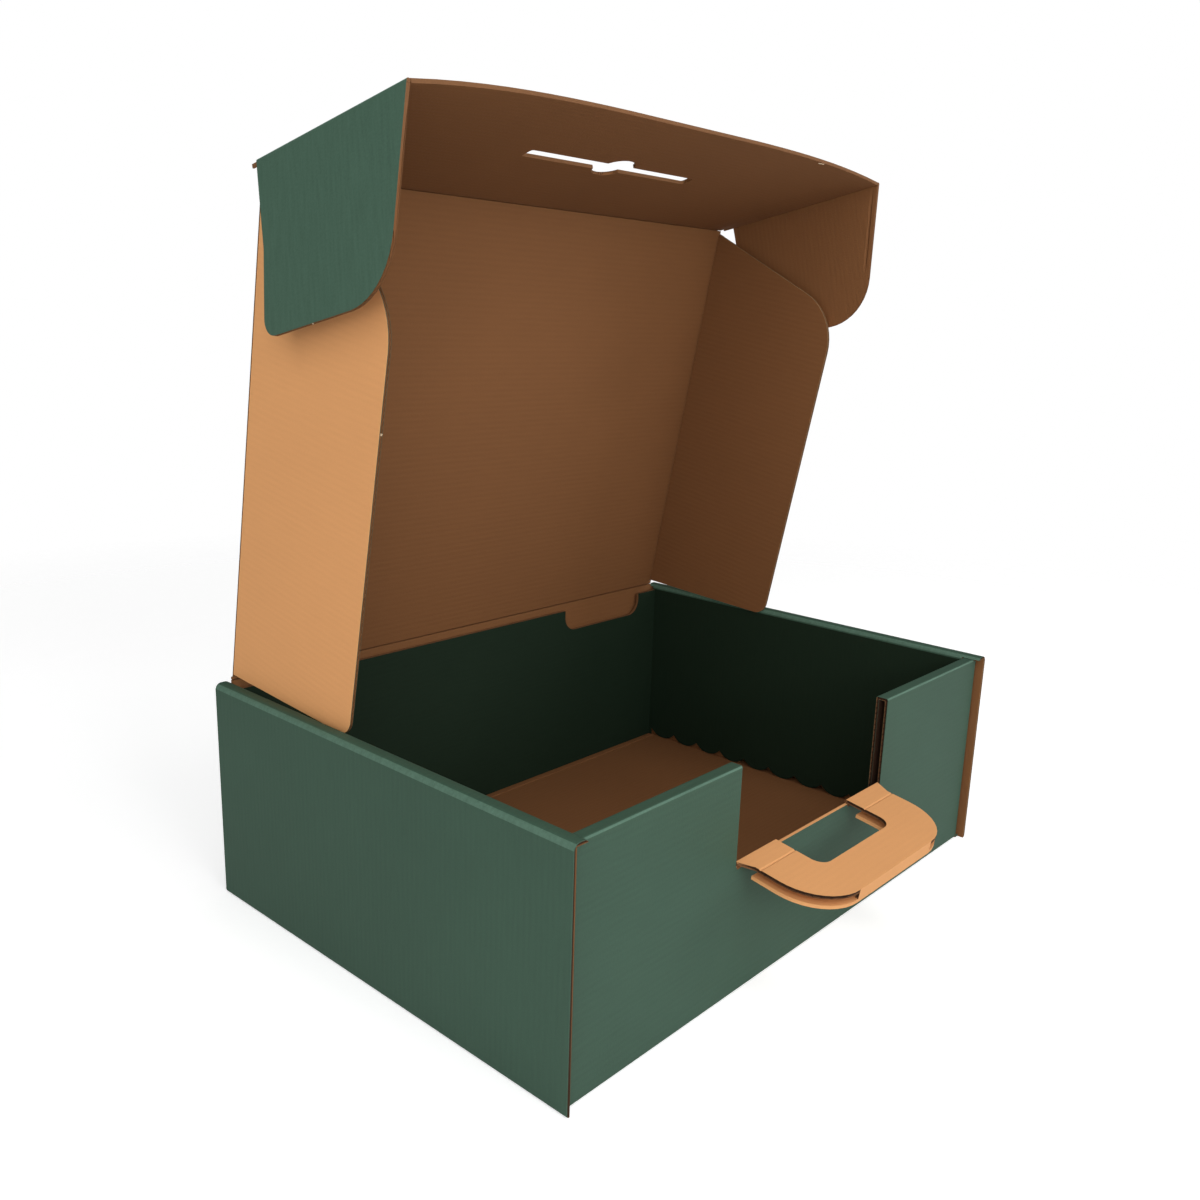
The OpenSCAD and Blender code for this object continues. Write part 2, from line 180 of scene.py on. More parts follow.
class BoardSizes(bpy.types.PropertyGroup):
    """Sizes of the corrugated board and of the walls folded from it"""

    board: metres("Board thickness", "Thickness of the corrugated board", 0.0018)
    side_wall: metres("Side wall", "Thickness of a rolled side wall", 0.0088)
    front_wall: metres("Front wall", "Thickness of the doubled front wall", 0.007)
    back_wall: metres("Back wall", "Thickness of the doubled back wall", 0.006)
    front_step: metres("Front step", "Step of the front wall behind the side walls' ends", 0.0038)
    roll_radius: metres("Roll radius", "Bend radius of the side walls' tops", 0.0034)
    flute_pitch: metres("Flute pitch", "Distance from one flute of the board to the next", FLUTE_PITCH)
    crush: metres("Crushed rim", "Bevel where the cutting die pressed the rims of an edge", 0.0003)
    liner: metres("Liner", "Thickness of the paper on each face of the board", 0.0002)
    groove: metres("Open depth", "Depth to which a cut edge shows the flutes between the liners", 0.0006)
    flute_paper: metres("Flute paper", "Thickness of the paper that the flutes are made of", 0.00018)


class BoxColours(bpy.types.PropertyGroup):
    """Colours of the sheet's faces and edges"""

    printed: colour("Print", "Green print on the outside of the sheet", 0.0355, 0.0775, 0.0511)
    # Darker copy of the print: painted shade on the walls inside the tray
    inside: colour("Inside print", "Green print on the boards inside the tray", 0.0115, 0.0235, 0.0132)
    # Lighter print: scuffed print on the crushed rims and folds, painted highlight on the folds that face up,
    # and painted light on the ears
    worn: colour("Worn print", "Print stretched over a fold or a rim", 0.085, 0.16, 0.115)
    inner: colour("Inner kraft", "Brown kraft on the inside of the sheet", 0.197, 0.083, 0.029)
    kraft: colour("Plain kraft", "Tan kraft of the dust flaps and the handle", 0.642, 0.308, 0.12)
    cut: colour("Cut edge", "Raw edge of the board", 0.17, 0.076, 0.03)
    torn: colour("Torn paper", "Pale fibres where the paper is torn", 0.78, 0.62, 0.42)
    core: colour("Core", "Fluted paper in the shade between the liners", 0.038, 0.016, 0.007)


class StageValues(bpy.types.PropertyGroup):
    """Floor, light and camera"""

    floor: colour("Floor", "Colour of the floor", 0.86, 0.86, 0.86)
    floor_glow: amount("Floor glow", "What the camera sees added to the floor, to meet the white", 0.45)
    floor_clear: metres("Floor fade start", "Distance at which the floor starts to fade for the camera", 0.45)
    floor_end: metres("Floor fade end", "Distance at which the camera sees only the background", 1.1)
    left: watts("Left light", "Power of the lights on the left", 15.1)
    key: watts("Key light", "Power of the lights on the left in front", 12.9)
    front: watts("Front light", "Power of the lights in front", 13.3)
    right: watts("Right light", "Power of the light on the right in front", 15.7)
    top: watts("Top light", "Power of the lights above", 17.2)
    near: watts("Near light", "Power of the small light beside the camera", 2.2)
    spot: watts("Spot light", "Power of the small light in front", 6.2)
    sky: amount("Sky", "Strength of the even light from all sides", 0.12)
    lens: amount("Lens", "Focal length in mm", 33.7)


# Frames of the folded panels


def joint(name):
    """Place and direction of a joint."""
    for j in frame["joints"]:
        if j["name"] == name:
            return Vector(j["pos_m"]), Vector(j["axis"]).normalized()
    raise RuntimeError("the frame has no joint named " + name)


def placed(origin, x, y, z):
    """Matrix with these three axes at this origin."""
    m = Matrix((x, y, z)).transposed().to_4x4()
    m.translation = origin
    return m


def basis(origin, x, y):
    """Matrix of a panel's own frame, with x and y in its plane and z square to it."""
    return placed(origin, x, y, x.cross(y).normalized())


def main_normal(part, hint):
    """Normal of the part's widest flat face on the side of hint."""
    sums = {}
    for p in frame["nodes"][part].data.polygons:
        if p.normal.dot(hint) > TOWARDS:
            total = sums.setdefault(tuple(round(v, 2) for v in p.normal), [0, Vector()])
            total[0] += p.area
            total[1] += p.normal * p.area
    best, normal = 0, None
    for area, total in sums.values():
        if area > best:
            best, normal = area, total.normalized()
    if normal is None:
        raise RuntimeError("no face of " + part + " looks that way")
    return normal


def panel_frames():
    """Frame of each moving panel: its plane is x and y, and z is the face inside the closed box."""
    x = Vector((1, 0, 0))
    lid_at, _ = joint("lid_hinge")
    _, lid_up = joint("left_dust_flap_fold")
    flap_at, _ = joint("front_flap_fold")
    _, flap_up = joint("right_ear_fold")
    grip_at, _ = joint("handle_fold")
    lid = basis(lid_at, x, lid_up)
    flap = basis(flap_at, x, flap_up)
    inward = lid.col[2].to_3d()
    frames = {"lid_panel": lid, "front_flap": flap}
    for side, out in (("left", -x), ("right", x)):
        dust_at, _ = joint(side + "_dust_flap_fold")
        frames[side + "_dust_flap"] = basis(dust_at, inward, -out.cross(inward).normalized())
        ear_at, _ = joint(side + "_ear_fold")
        z = main_normal(side + "_ear", -out)
        reach = flap_up.cross(z).normalized()
        if reach.dot(flap.col[2].to_3d()) < 0:
            reach = -reach
        frames[side + "_ear"] = placed(ear_at, reach, flap_up, z)
    up = main_normal("carry_handle", Vector((0, 0, 1)))
    frames["carry_handle"] = basis(grip_at, x, up.cross(x))
    return frames


# Faces: which side of the sheet each one shows


def tray_extent():
    """Lowest corner, highest corner and height of the side walls' tops."""
    low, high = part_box("tray")
    front_half = [v.co.z for v in frame["nodes"]["tray"].data.vertices if v.co.y < 0]
    return low, high, max(front_half)


def side_wall_kind(c, n, s, extent):
    """Kind of a face of a rolled side wall, or None where the rules of the tray hold."""
    low, high, top = extent
    side = 1 if c.x > 0 else -1
    ax, nx = abs(c.x), n.x * side
    half = high.x
    at_front = c.y < low.y + TOL
    at_back = c.y > high.y - TOL and ax > half - 1.5 * s.board
    if abs(n.y) > FLAT and (at_front or at_back):
        return CUT
    if nx > FLAT and ax > half - TOL:
        return PRINT
    if c.z > top - s.roll_radius - TOL and abs(n.y) < LEVEL:
        middle = Vector((side * (half - s.side_wall / 2), c.y, top - s.roll_radius))
        return PRINT if (c - middle).dot(n) > 0 and n.z > ROLL_LOW else INNER
    # Faces that look into the tray take the darkened print: painted shade
    if nx < -FLAT:
        return SHADED_PRINT if ax < half - s.side_wall + TOL else INNER
    return None


def front_wall_kind(c, n, s, extent):
    """Kind of a face of the doubled front wall, or None where the rules of the tray hold."""
    low, _, top = extent
    face_y = low.y + s.front_step
    # Faces that look into the tray take the darkened print, painted shade; the others here are in the hollow
    # between the two boards
    if n.y > FLAT:
        return SHADED_PRINT if c.y > face_y + s.front_wall - TOL else SHADED_CORE
    # Faces in the hollow between the two boards, here and above, take the core's dark colour: painted shade
    if n.y < -FLAT and c.y > face_y + s.board:
        return SHADED_CORE
    if n.x * c.x < 0 and abs(n.x) > FLAT:
        return CUT
    if n.z > FLAT and c.z < BELOW_TOP * top:
        return KRAFT
    if c.z > top - 3 * s.board and n.z > ROUND_TOP:
        return PRINT
    return None


def tray_kind(c, n, s, extent):
    """Kind of the tray's face with centre c and normal n."""
    low, high, _ = extent
    ax, half = abs(c.x), high.x
    face_y = low.y + s.front_step
    in_side = ax > half - s.side_wall - TOL
    in_front = c.y < face_y + s.front_wall + TOL and not in_side
    in_back = c.y > high.y - s.back_wall - TOL and not in_side
    if n.z < -FLAT and c.z < TOL:
        return PRINT
    if n.z > FLAT and c.z < 1.5 * s.board:
        return INNER
    kind = side_wall_kind(c, n, s, extent) if in_side else None
    if kind is not None:
        return kind
    if (n.y < -FLAT and c.y < face_y + TOL) or (n.y > FLAT and c.y > high.y - TOL):
        return PRINT
    if c.z < 2 * s.board and n.z < 0:
        return PRINT
    kind = front_wall_kind(c, n, s, extent) if in_front else None
    if kind is not None:
        return kind
    # The back wall's face into the tray takes the darkened print: painted shade
    if in_back and n.y < -FLAT:
        return SHADED_PRINT if c.y < high.y - s.back_wall + TOL else INNER
    if in_back and c.y < high.y - s.board - TOL:
        return CUT
    if in_side and n.z < 0 and ax < half - s.side_wall + s.board + TOL:
        return CUT
    return INNER


def panel_rule(m, outer, inner):
    """Rule that tells a panel's outer face, inner face and cut edge apart."""

    def kind(c, n):
        d = n.dot(m.col[2].to_3d())
        if d > PANEL_SIDE:
            return inner
        return outer if d < -PANEL_SIDE else CUT

    return kind


# Meshes


def welded(part):
    """The part's solid with its flat faces made whole."""
    bm = bmesh.new()
    bm.from_mesh(frame["nodes"][part].data)
    bmesh.ops.remove_doubles(bm, verts=bm.verts, dist=WELD)
    bmesh.ops.dissolve_limit(
        bm, angle_limit=COPLANAR, verts=bm.verts, edges=bm.edges, use_dissolve_boundaries=False
    )
    bmesh.ops.recalc_face_normals(bm, faces=bm.faces)
    bm.normal_update()
    return bm


def lay_sheet_uv(bm, m):
    """UV in metres: across the flutes, then along them.

    On the tray, which has no frame of its own, the flutes run along X, and up the side walls.
    """
    layer = bm.loops.layers.uv.new("sheet")
    back = m.inverted() if m else None
    for f in bm.faces:
        n = f.normal
        for loop in f.loops:
            p = loop.vert.co
            if back:
                q = back @ p
                loop[layer].uv = (q.y, q.x)
            elif abs(n.x) > abs(n.y) and abs(n.x) > abs(n.z):
                loop[layer].uv = (p.y, p.z)
            elif abs(n.y) > abs(n.z):
                loop[layer].uv = (p.z, p.x)
            else:
                loop[layer].uv = (p.y, p.x)


def finish_mesh(bm, name):
    """Plain mesh with smooth faces and sharp edges."""
    for f in bm.faces:
        f.smooth = True
    for e in bm.edges:
        if e.calc_face_angle(math.pi) > SMOOTH:
            e.smooth = False
    mesh = bpy.data.meshes.new(name)
    bm.to_mesh(mesh)
    bm.free()
    return mesh


def add_piece(name, mesh, body, replaced=None):
    """Add a piece that rides on a body; one that replaces the body's solid is shaded evenly."""
    o = bpy.data.objects.new(name, mesh)
    bpy.context.scene.collection.objects.link(o)
    for kind in KINDS:
        mesh.materials.append(bpy.data.materials["board_" + kind])
    if replaced:
        weigh = o.modifiers.new("even shading", "WEIGHTED_NORMAL")
        weigh.keep_sharp = True
        bpy.context.view_layer.update()
        graph = bpy.context.evaluated_depsgraph_get()
        even = bpy.data.meshes.new_from_object(
            o.evaluated_get(graph), preserve_all_data_layers=True, depsgraph=graph
        )
        o.modifiers.remove(weigh)
        o.data = even
        even.name = name
    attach(o, body)
    if replaced:
        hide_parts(replaced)
    return o


def open_edges(bm, s, choose, deep):
    """Crush the rims of the raw edges that choose picks, and open the edge between the liners."""
    wear = bm.loops.layers.float.get("wear")
    raw = [f for f in bm.faces if f.material_index == CUT and choose(f)]
    rims = {e for f in raw for e in f.edges if any(g.material_index != CUT for g in e.link_faces)}
    made = bmesh.ops.bevel(
        bm, geom=list(rims), offset=s.crush, segments=2, profile=0.5, affect="EDGES", clamp_overlap=True
    )
    crushed = set(made["faces"])
    for f in made["faces"]:
        around = [g for e in f.edges for g in e.link_faces if g not in crushed]
        near = [g.material_index for g in around if g.material_index != CUT]
        if near:
            f.material_index = near[0]
            for loop in f.loops:
                loop[wear] = RIM_WEAR

    def raw_faces():
        return [f for f in bm.faces if f.material_index == CUT and f not in crushed and choose(f)]

    # The inset needs faces with at most four corners, because a bent one would be filled wrongly
    bmesh.ops.triangulate(bm, faces=[f for f in raw_faces() if len(f.verts) > 4])
    raw = raw_faces()
    bmesh.ops.inset_region(
        bm, faces=raw, thickness=s.liner, depth=-s.groove, use_even_offset=True, use_boundary=True
    )
    # The groove takes the deep colour; on the tray and the handle that is the core's dark colour, painted
    # shade between the liners
    for f in raw:
        f.material_index = deep


def long_edge(f):
    """True for a raw edge as wide as the board, or as what the crushed rims leave of it."""
    s = bpy.context.scene.gift_board
    lengths = [e.calc_length() for e in f.edges]
    width = max(min(lengths), f.calc_area() / max(lengths))
    return s.board - 2 * s.crush - TOL < width < s.board + TOL


def edge_paths(bm, m, s, choose):
    """Middle line of a panel's raw edges, from one rung through the board to the next."""
    through = m.col[2].to_3d()
    back = m.inverted()
    points, segments = {}, []
    for f in bm.faces:
        if f.material_index != CUT or not choose(f):
            continue
        ends = []
        for e in f.edges:
            run = e.verts[1].co - e.verts[0].co
            is_board = abs(run.length - s.board) < RUNG_PLAY * s.board
            if is_board and abs(run.normalized().dot(through)) > RUNG:
                middle = (e.verts[0].co + e.verts[1].co) / 2
                key = tuple(round(v, 5) for v in middle)
                points.setdefault(key, [middle, Vector()])
                points[key][1] += f.normal
                ends.append(key)
        if len(ends) == 2 and ends[0] != ends[1]:
            segments.append(ends)
    order = {key: i for i, key in enumerate(points)}
    places = [at - out.normalized() * s.groove / 2 for at, out in points.values()]
    across = [(back @ p).y for p in places]
    return places, [(order[a], order[b]) for a, b in segments], [through] * len(places), across


def jamb_paths(s, extent):
    """Middle line of the doubled front wall's two ends at the cut-out.

    It runs up the outer board, over the top and down the inner one.
    """
    low, high, _ = extent
    face_y = low.y + s.front_step
    inside_y = face_y + s.front_wall
    reach = NEAR_MIDDLE * (high.x - s.side_wall)
    corners = [v.co for v in frame["nodes"]["tray"].data.vertices]
    ends = [v for v in corners if v.y < inside_y + TOL and abs(v.x) < reach]
    jamb = max(abs(v.x) for v in ends)
    at_jamb = [v for v in ends if abs(abs(v.x) - jamb) < TOL]
    over = max(v.z for v in at_jamb) - s.board / 2
    outer, inner = face_y + s.board / 2, inside_y - s.board / 2
    sill = min(v.z for v in at_jamb if v.y < face_y + TOL)
    inner_sill = min(v.z for v in at_jamb if v.y > inside_y - TOL)
    line = [(outer, sill), (outer, over), (inner, over), (inner, inner_sill)]
    places, lines, rises, across = [], [], [], []
    for side in (-1, 1):
        gone = 0
        for (y0, z0), (y1, z1) in zip(line, line[1:]):
            length = math.hypot(y1 - y0, z1 - z0)
            for end, (y, z) in enumerate(((y0, z0), (y1, z1))):
                places.append(Vector((side * (jamb + s.groove / 2), y, z)))
                rises.append(Vector((0, (z1 - z0) / length, (y0 - y1) / length)))
                across.append(gone + end * length)
            lines.append((len(places) - 2, len(places) - 1))
            gone += length
    return places, lines, rises, across


def press(bm, m, a, b, width, depth, side, fade=0.0, faces=None):
    """Press a crease from a to b, points in the panel's plane, into the face on that side.

    fade is the tapered share at each end, and faces picks the faces that may be cut.
    """
    a, b = Vector(a).to_3d(), Vector(b).to_3d()
    length = (b - a).length
    along = (b - a).normalized()
    square = Vector((-along.y, along.x, 0))
    turn = m.to_3x3()
    back = m.inverted()
    cuts = [(a + square * shift, square) for shift in (-width / 2, 0, width / 2)]
    if fade:
        cuts += [(a + along * length * share, along) for share in (0, fade, 1 - fade, 1)]
    for at, normal in cuts:
        some = [f for f in bm.faces if not faces or faces(f)]
        geom = list({v for f in some for v in f.verts} | {e for f in some for e in f.edges}) + some
        bmesh.ops.bisect_plane(bm, geom=geom, dist=WELD / 10, plane_co=m @ at, plane_no=turn @ normal)
    first, last = fade * length - TOL, (1 - fade) * length + TOL
    lines = {}
    for v in bm.verts:
        q = back @ v.co - a
        on_face = -TOL < q.dot(along) < length + TOL and q.z * side > 0
        for line in (-1, 0, 1):
            if on_face and abs(q.dot(square) - line * width / 2) < WELD:
                lines[v] = line
                if line == 0 and first < q.dot(along) < last:
                    v.co -= turn @ Vector((0, 0, side * depth))
    for e in bm.edges:
        start, end = (lines.get(v) for v in e.verts)
        if start is not None and start == end:
            e.smooth = False
    bm.normal_update()


def torn_piece(part, m):
    """Flakes of paper torn up at a panel's rim where the die cut it badly."""
    bm = bmesh.new()
    paper = bpy.context.scene.gift_board.flute_paper
    count = len(FLAKE)
    for x, y, z, angle, size in FLAKES[part]:
        place = m @ Matrix.Translation((x, y, z)) @ Matrix.Rotation(math.radians(angle - 90), 4, "Z")
        low, high = (
            [bm.verts.new(place @ (Vector(p) * size + Vector((0, 0, lift)))) for p in FLAKE]
            for lift in (0, paper)
        )
        bm.faces.new(low)
        bm.faces.new(high)
        for i in range(count):
            j = (i + 1) % count
            bm.faces.new((low[i], low[j], high[j], high[i]))
    for f in bm.faces:
        f.material_index = TORN
    bmesh.ops.recalc_face_normals(bm, faces=bm.faces)
    lay_sheet_uv(bm, m)
    add_piece(part + "_torn", finish_mesh(bm, part + "_torn"), part)


def board_piece(part, kind_of, m, choose=None, paths=None, creases=(), deep=SHADED_CORE, lightening=0.0):
    """A part's solid as a sheet of board.

    It has printed, kraft and cut faces, open edges where choose says, and pressed creases.
    """
    s = bpy.context.scene.gift_board
    bm = welded(part)
    wear = bm.loops.layers.float.new("wear")
    for f in bm.faces:
        centre = f.calc_center_median()
        f.material_index = kind_of(centre, f.normal)
        # Printed fold facets that face up are lightened, partly scuffed print and partly painted highlight;
        # the rest of the print is lightened by the given share, which on the ears is painted light
        if f.material_index == PRINT:
            on_fold = FOLD_LOW < f.normal.z < FOLD_HIGH and centre.z > FOLD_FROM
            for loop in f.loops:
                loop[wear] = FOLD_WEAR_AND_HIGHLIGHT if on_fold else lightening
    if choose:
        paths = paths or edge_paths(bm, m, s, choose)
        open_edges(bm, s, choose, deep)
        flute_piece(part + "_flutes", part, paths, deep)
    for crease in creases:
        press(bm, *crease)
    if part in FLAKES:
        torn_piece(part, m)
    lay_sheet_uv(bm, m)
    return add_piece(part + "_board", finish_mesh(bm, part + "_board"), part, part)


# Node helpers


def group(name, inputs, outputs):
    """New shader group with its input and output nodes."""
    tree = bpy.data.node_groups.new(name, "ShaderNodeTree")
    for kind, label, default in inputs:
        sock = tree.interface.new_socket(label, in_out="INPUT", socket_type=kind)
        sock.default_value = default
    for kind, label in outputs:
        tree.interface.new_socket(label, in_out="OUTPUT", socket_type=kind)
    return tree, tree.nodes.new("NodeGroupInput"), tree.nodes.new("NodeGroupOutput")


def add_node(tree, kind, inputs=(), **values):
    """New node with its settings, and with each input linked to a socket or set to a value."""
    made = tree.nodes.new(kind)
    for key, value in values.items():
        setattr(made, key, value)
    for key, value in dict(inputs).items():
        if isinstance(value, bpy.types.NodeSocket):
            tree.links.new(value, made.inputs[key])
        else:
            made.inputs[key].default_value = value
    return made


def math_node(tree, operation, a, b=0.0):
    """Result socket of a sum on two sockets or values."""
    return add_node(tree, "ShaderNodeMath", {0: a, 1: b}, operation=operation).outputs[0]


def wave_node(tree, place, pitch):
    """Socket of a sine wave over the place, with the given pitch."""
    turns = math_node(tree, "DIVIDE", place, pitch)
    return math_node(tree, "SINE", math_node(tree, "MULTIPLY", turns, 2 * math.pi))


# Fluted core


def flute_tree():
    """Fluted paper of the board's core, seen at a cut edge: a waved ribbon along a path."""
    tree = bpy.data.node_groups.new("flute core", "GeometryNodeTree")
    tree.is_modifier = True
    tree.interface.new_socket("Path", in_out="INPUT", socket_type="NodeSocketGeometry")
    for label in ("Pitch", "Height", "Paper", "Depth", "Step"):
        tree.interface.new_socket(label, in_out="INPUT", socket_type="NodeSocketFloat")
    tree.interface.new_socket("Material", in_out="INPUT", socket_type="NodeSocketMaterial")
    tree.interface.new_socket("Mesh", in_out="OUTPUT", socket_type="NodeSocketGeometry")
    gin = tree.nodes.new("NodeGroupInput").outputs

    def named(label, kind):
        return add_node(tree, "GeometryNodeInputNamedAttribute", {0: label}, data_type=kind).outputs[0]

    rise = named("rise", "FLOAT_VECTOR")
    wave = wave_node(tree, named("across", "FLOAT"), gin["Pitch"])
    swing = math_node(tree, "MULTIPLY", wave, math_node(tree, "MULTIPLY", gin["Height"], 0.5))
    offset = add_node(tree, "ShaderNodeVectorMath", {0: rise}, operation="SCALE")
    tree.links.new(swing, offset.inputs["Scale"])
    curve = add_node(tree, "GeometryNodeMeshToCurve", {"Mesh": gin["Path"]})
    fine = add_node(tree, "GeometryNodeResampleCurve", mode="LENGTH")
    tree.links.new(curve.outputs[0], fine.inputs["Curve"])
    tree.links.new(gin["Step"], fine.inputs["Length"])
    turned = add_node(tree, "GeometryNodeSetCurveNormal", mode="FREE")
    tree.links.new(fine.outputs[0], turned.inputs["Curve"])
    tree.links.new(rise, turned.inputs["Normal"])
    waved = {"Geometry": turned.outputs[0], "Offset": offset.outputs[0]}
    waved = add_node(tree, "GeometryNodeSetPosition", waved)
    profile = {"Width": gin["Paper"], "Height": gin["Depth"]}
    profile = add_node(tree, "GeometryNodeCurvePrimitiveQuadrilateral", profile)
    ribbon = {"Curve": waved.outputs[0], "Profile Curve": profile.outputs[0], "Fill Caps": True}
    ribbon = add_node(tree, "GeometryNodeCurveToMesh", ribbon)
    real = add_node(tree, "GeometryNodeRealizeInstances", {0: ribbon.outputs[0]})
    painted = {"Geometry": real.outputs[0], "Material": gin["Material"]}
    painted = add_node(tree, "GeometryNodeSetMaterial", painted)
    out = tree.nodes.new("NodeGroupOutput")
    tree.links.new(painted.outputs[0], out.inputs[0])
    return tree


def flute_piece(name, body, paths, deep):
    """One mesh of fluted core for the raw edges of a body."""
    s = bpy.context.scene.gift_board
    places, lines, rises, across = paths
    wire = bpy.data.meshes.new(name)
    wire.from_pydata(places, lines, [])
    rise_values = [v for rise in rises for v in rise]
    wire.attributes.new("rise", "FLOAT_VECTOR", "POINT").data.foreach_set("vector", rise_values)
    wire.attributes.new("across", "FLOAT", "POINT").data.foreach_set("value", across)
    o = bpy.data.objects.new(name, wire)
    bpy.context.scene.collection.objects.link(o)
    tree = bpy.data.node_groups.get("flute core") or flute_tree()
    values = {
        "Pitch": s.flute_pitch,
        "Height": s.board - 2 * s.crush - 2 * s.liner,
        "Paper": s.flute_paper,
        "Depth": s.groove,
        "Step": s.flute_pitch / FLUTE_STEPS,
        "Material": bpy.data.materials["board_" + KINDS[deep]],
    }
    made = o.modifiers.new("flutes", "NODES")
    made.node_group = tree
    for item in tree.interface.items_tree:
        if item.in_out == "INPUT" and item.name in values:
            made[item.identifier] = values[item.name]
    bpy.context.view_layer.update()
    graph = bpy.context.evaluated_depsgraph_get()
    mesh = bpy.data.meshes.new_from_object(o.evaluated_get(graph), depsgraph=graph)
    o.modifiers.remove(made)
    o.data = mesh
    mesh.name = name
    bpy.data.meshes.remove(wire)
    if not mesh.polygons:
        raise RuntimeError("no flutes were made for " + name)
    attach(o, body)
    return o


# Materials


def noise(tree, place, scale, detail):
    """Result socket of a noise texture over the place."""
    values = {"Vector": place, "Scale": scale, "Detail": detail}
    return add_node(tree, "ShaderNodeTexNoise", values).outputs[0]


def paper_group():
    """Grain, fibres and soft clouds of paper: a tint factor and a height."""
    tree, gin, gout = group(
        "paper grain",
        [("NodeSocketVector", "Vector", (0, 0, 0)), ("NodeSocketFloat", "Clouds", CLOUD_SHARE)],
        [("NodeSocketFloat", "Tint"), ("NodeSocketFloat", "Height")],
    )
    place = gin.outputs["Vector"]
    clouds = noise(tree, place, CLOUD_SCALE, 3)
    grain = noise(tree, place, GRAIN_SCALE, 3)
    stretch = add_node(tree, "ShaderNodeMapping", {"Vector": place, "Scale": (1, FIBRE_STRETCH, 1)})
    fibre = noise(tree, stretch.outputs[0], FIBRE_SCALE, 2)
    fine = math_node(tree, "ADD", grain, fibre)
    part = math_node(tree, "MULTIPLY", clouds, gin.outputs["Clouds"])
    total = math_node(tree, "ADD", part, math_node(tree, "MULTIPLY", fine, GRAIN_SHARE))
    tree.links.new(total, gout.inputs["Tint"])
    tree.links.new(fine, gout.inputs["Height"])
    return tree


def flute_group():
    """Faint lines where the liner shows the flutes beneath: a wave in patches."""
    tree, gin, gout = group(
        "flute lines",
        [("NodeSocketVector", "Vector", (0, 0, 0)), ("NodeSocketFloat", "Pitch", FLUTE_PITCH)],
        [("NodeSocketFloat", "Wave")],
    )
    parts = add_node(tree, "ShaderNodeSeparateXYZ", {0: gin.outputs["Vector"]})
    wave = wave_node(tree, parts.outputs[0], gin.outputs["Pitch"])
    patches = noise(tree, gin.outputs["Vector"], PATCH_SCALE, 2)
    tree.links.new(math_node(tree, "MULTIPLY", wave, patches), gout.inputs["Wave"])
    return tree


def board_material(kind, base, worn, spread, roughness, flutes, bump, shine):
    """Material of one kind of paper, with grain, flute lines, and print lightened by scuffing, by a painted
    highlight on the folds and by painted light on the ears.
    """
    mat = bpy.data.materials.new("board_" + kind)
    mat.use_nodes = True
    tree = mat.node_tree
    bsdf = tree.nodes["Principled BSDF"]
    bsdf.inputs["Roughness"].default_value = roughness
    bsdf.inputs["Specular IOR Level"].default_value = shine
    uv = add_node(tree, "ShaderNodeUVMap", uv_map="sheet").outputs[0]
    grain = add_node(tree, "ShaderNodeGroup", node_tree=bpy.data.node_groups["paper grain"])
    tree.links.new(uv, grain.inputs["Vector"])
    lines = add_node(tree, "ShaderNodeGroup", node_tree=bpy.data.node_groups["flute lines"])
    tree.links.new(uv, lines.inputs["Vector"])
    lines.inputs["Pitch"].default_value = bpy.context.scene.gift_board.flute_pitch
    wave = lines.outputs["Wave"]
    shade = math_node(tree, "ADD", grain.outputs["Tint"], math_node(tree, "MULTIPLY", wave, flutes))
    mix = add_node(tree, "ShaderNodeMix", {"Factor": shade}, data_type="RGBA")
    mix.inputs[FIRST_COLOUR].default_value = [v * (1 - spread) for v in base[:3]] + [1]
    mix.inputs[SECOND_COLOUR].default_value = [min(v * (1 + spread), 1) for v in base[:3]] + [1]
    # The colour goes towards the lighter print: scuffed print on the rims and folds, painted highlight on
    # folds that face up, painted light on the ears
    wear = add_node(tree, "ShaderNodeAttribute", attribute_name="wear")
    lightening = math_node(tree, "MULTIPLY", wear.outputs["Fac"], grain.outputs["Height"])
    over = add_node(tree, "ShaderNodeMix", {0: lightening}, data_type="RGBA")
    tree.links.new(mix.outputs[MIXED_COLOUR], over.inputs[FIRST_COLOUR])
    over.inputs[SECOND_COLOUR].default_value = worn
    tree.links.new(over.outputs[MIXED_COLOUR], bsdf.inputs["Base Color"])
    ribs = math_node(tree, "MULTIPLY", wave, flutes * FLUTE_RELIEF)
    height = math_node(tree, "ADD", grain.outputs["Height"], ribs)
    relief = {"Height": height, "Strength": bump, "Distance": RELIEF}
    relief = add_node(tree, "ShaderNodeBump", relief)
    tree.links.new(relief.outputs[0], bsdf.inputs["Normal"])
    return mat


# Operators, one for each group of like pieces


class GIFTBOX_OT_materials(bpy.types.Operator):
    """Make the board's materials"""

    bl_idname = "giftbox.materials"
    bl_label = "Materials"

    def execute(self, context):
        colours = context.scene.gift_colours
        paper_group()
        flute_group()
        for kind, base, worn, *finish in FINISHES:
            board_material(kind, getattr(colours, base), getattr(colours, worn), *finish)
        return {"FINISHED"}


